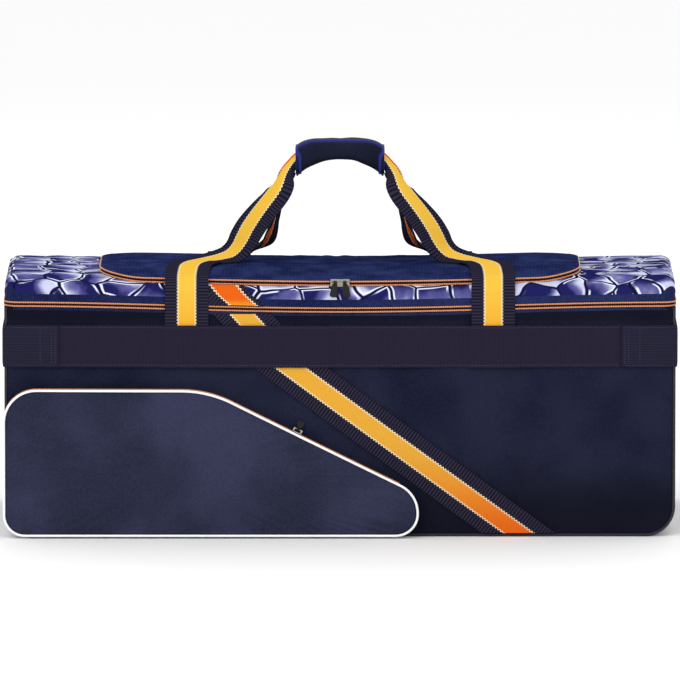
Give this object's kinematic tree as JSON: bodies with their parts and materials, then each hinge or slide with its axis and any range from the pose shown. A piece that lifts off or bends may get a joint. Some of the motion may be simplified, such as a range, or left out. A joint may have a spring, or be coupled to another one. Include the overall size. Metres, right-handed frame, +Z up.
{
  "type": "cricket kit bag",
  "caption": "Long soft kit bag with a domed zipped lid, a lid pocket, a sloping front pocket, a belt, end handles and two webbing straps that meet in a padded grip.",
  "frame": {"origin": "centre of the underside of the base, on the surface that the bag rests on", "axes": "+X along the bag, to the right as the picture shows it; +Y from its front to its back; +Z up, towards the grip"},
  "size_m": [0.8991, 0.3829, 0.512],
  "materials": {
    "body_cloth": "matte coated woven polyester",
    "base_cloth": "matte coated woven polyester",
    "edge_piping": "matte binding",
    "zip_tape": "coil zip with orange coils on dark tape",
    "lid_print": "printed woven polyester",
    "lid_ripstop": "crinkled ripstop with a slight sheen",
    "pocket_cloth": "matte coated woven polyester",
    "white_piping": "smooth piping",
    "belt_webbing": "ribbed webbing",
    "handle_webbing": "ribbed webbing",
    "strap_webbing": "webbing with a yellow middle and dark ribbed edges",
    "grip_cloth": "padded cloth with blue binding",
    "slider_metal": "bright plated metal",
    "puller_rubber": "matte moulded rubber"
  },
  "bodies": {
    "bag": {"front_panel": "body_cloth", "back_panel": "body_cloth", "end_panel_left": "body_cloth", "end_panel_right": "body_cloth", "base_panel": "base_cloth", "front_edge_piping": "edge_piping", "back_edge_piping": "edge_piping", "main_zip": "zip_tape", "lid": "lid_print", "lid_pocket": "lid_ripstop", "lid_pocket_zip": "zip_tape", "front_pocket": "pocket_cloth", "front_pocket_piping": "white_piping", "front_pocket_zip": "zip_tape", "belt_front": "belt_webbing", "belt_back": "belt_webbing", "sloping_band": "strap_webbing", "end_handle_left": "handle_webbing", "end_handle_right": "handle_webbing", "front_strap": "strap_webbing", "rear_strap": "strap_webbing", "grip_wrap": "grip_cloth", "lid_band": "strap_webbing", "lid_pocket_left_slider": "slider_metal", "lid_pocket_right_slider": "slider_metal", "front_pocket_slider": "slider_metal"},
    "lid_pocket_left_puller": {"lid_pocket_left_puller": "puller_rubber"},
    "lid_pocket_right_puller": {"lid_pocket_right_puller": "puller_rubber"},
    "front_pocket_puller": {"front_pocket_puller": "puller_rubber"}
  },
  "joints": [
    {"name": "lid_pocket_left_puller_swing", "type": "hinge", "parent": "bag", "child": "lid_pocket_left_puller", "pos_m": [-0.0064, -0.1628, 0.33984], "axis": [-1, 0, 0], "range_deg": [0, 120]},
    {"name": "lid_pocket_right_puller_swing", "type": "hinge", "parent": "bag", "child": "lid_pocket_right_puller", "pos_m": [0.0064, -0.1628, 0.33984], "axis": [-1, 0, 0], "range_deg": [0, 120]},
    {"name": "front_pocket_puller_swing", "type": "hinge", "parent": "bag", "child": "front_pocket_puller", "pos_m": [-0.05577, -0.18743, 0.14703], "axis": [0.8905, 0, -0.4549], "range_deg": [0, 100]}
  ]
}
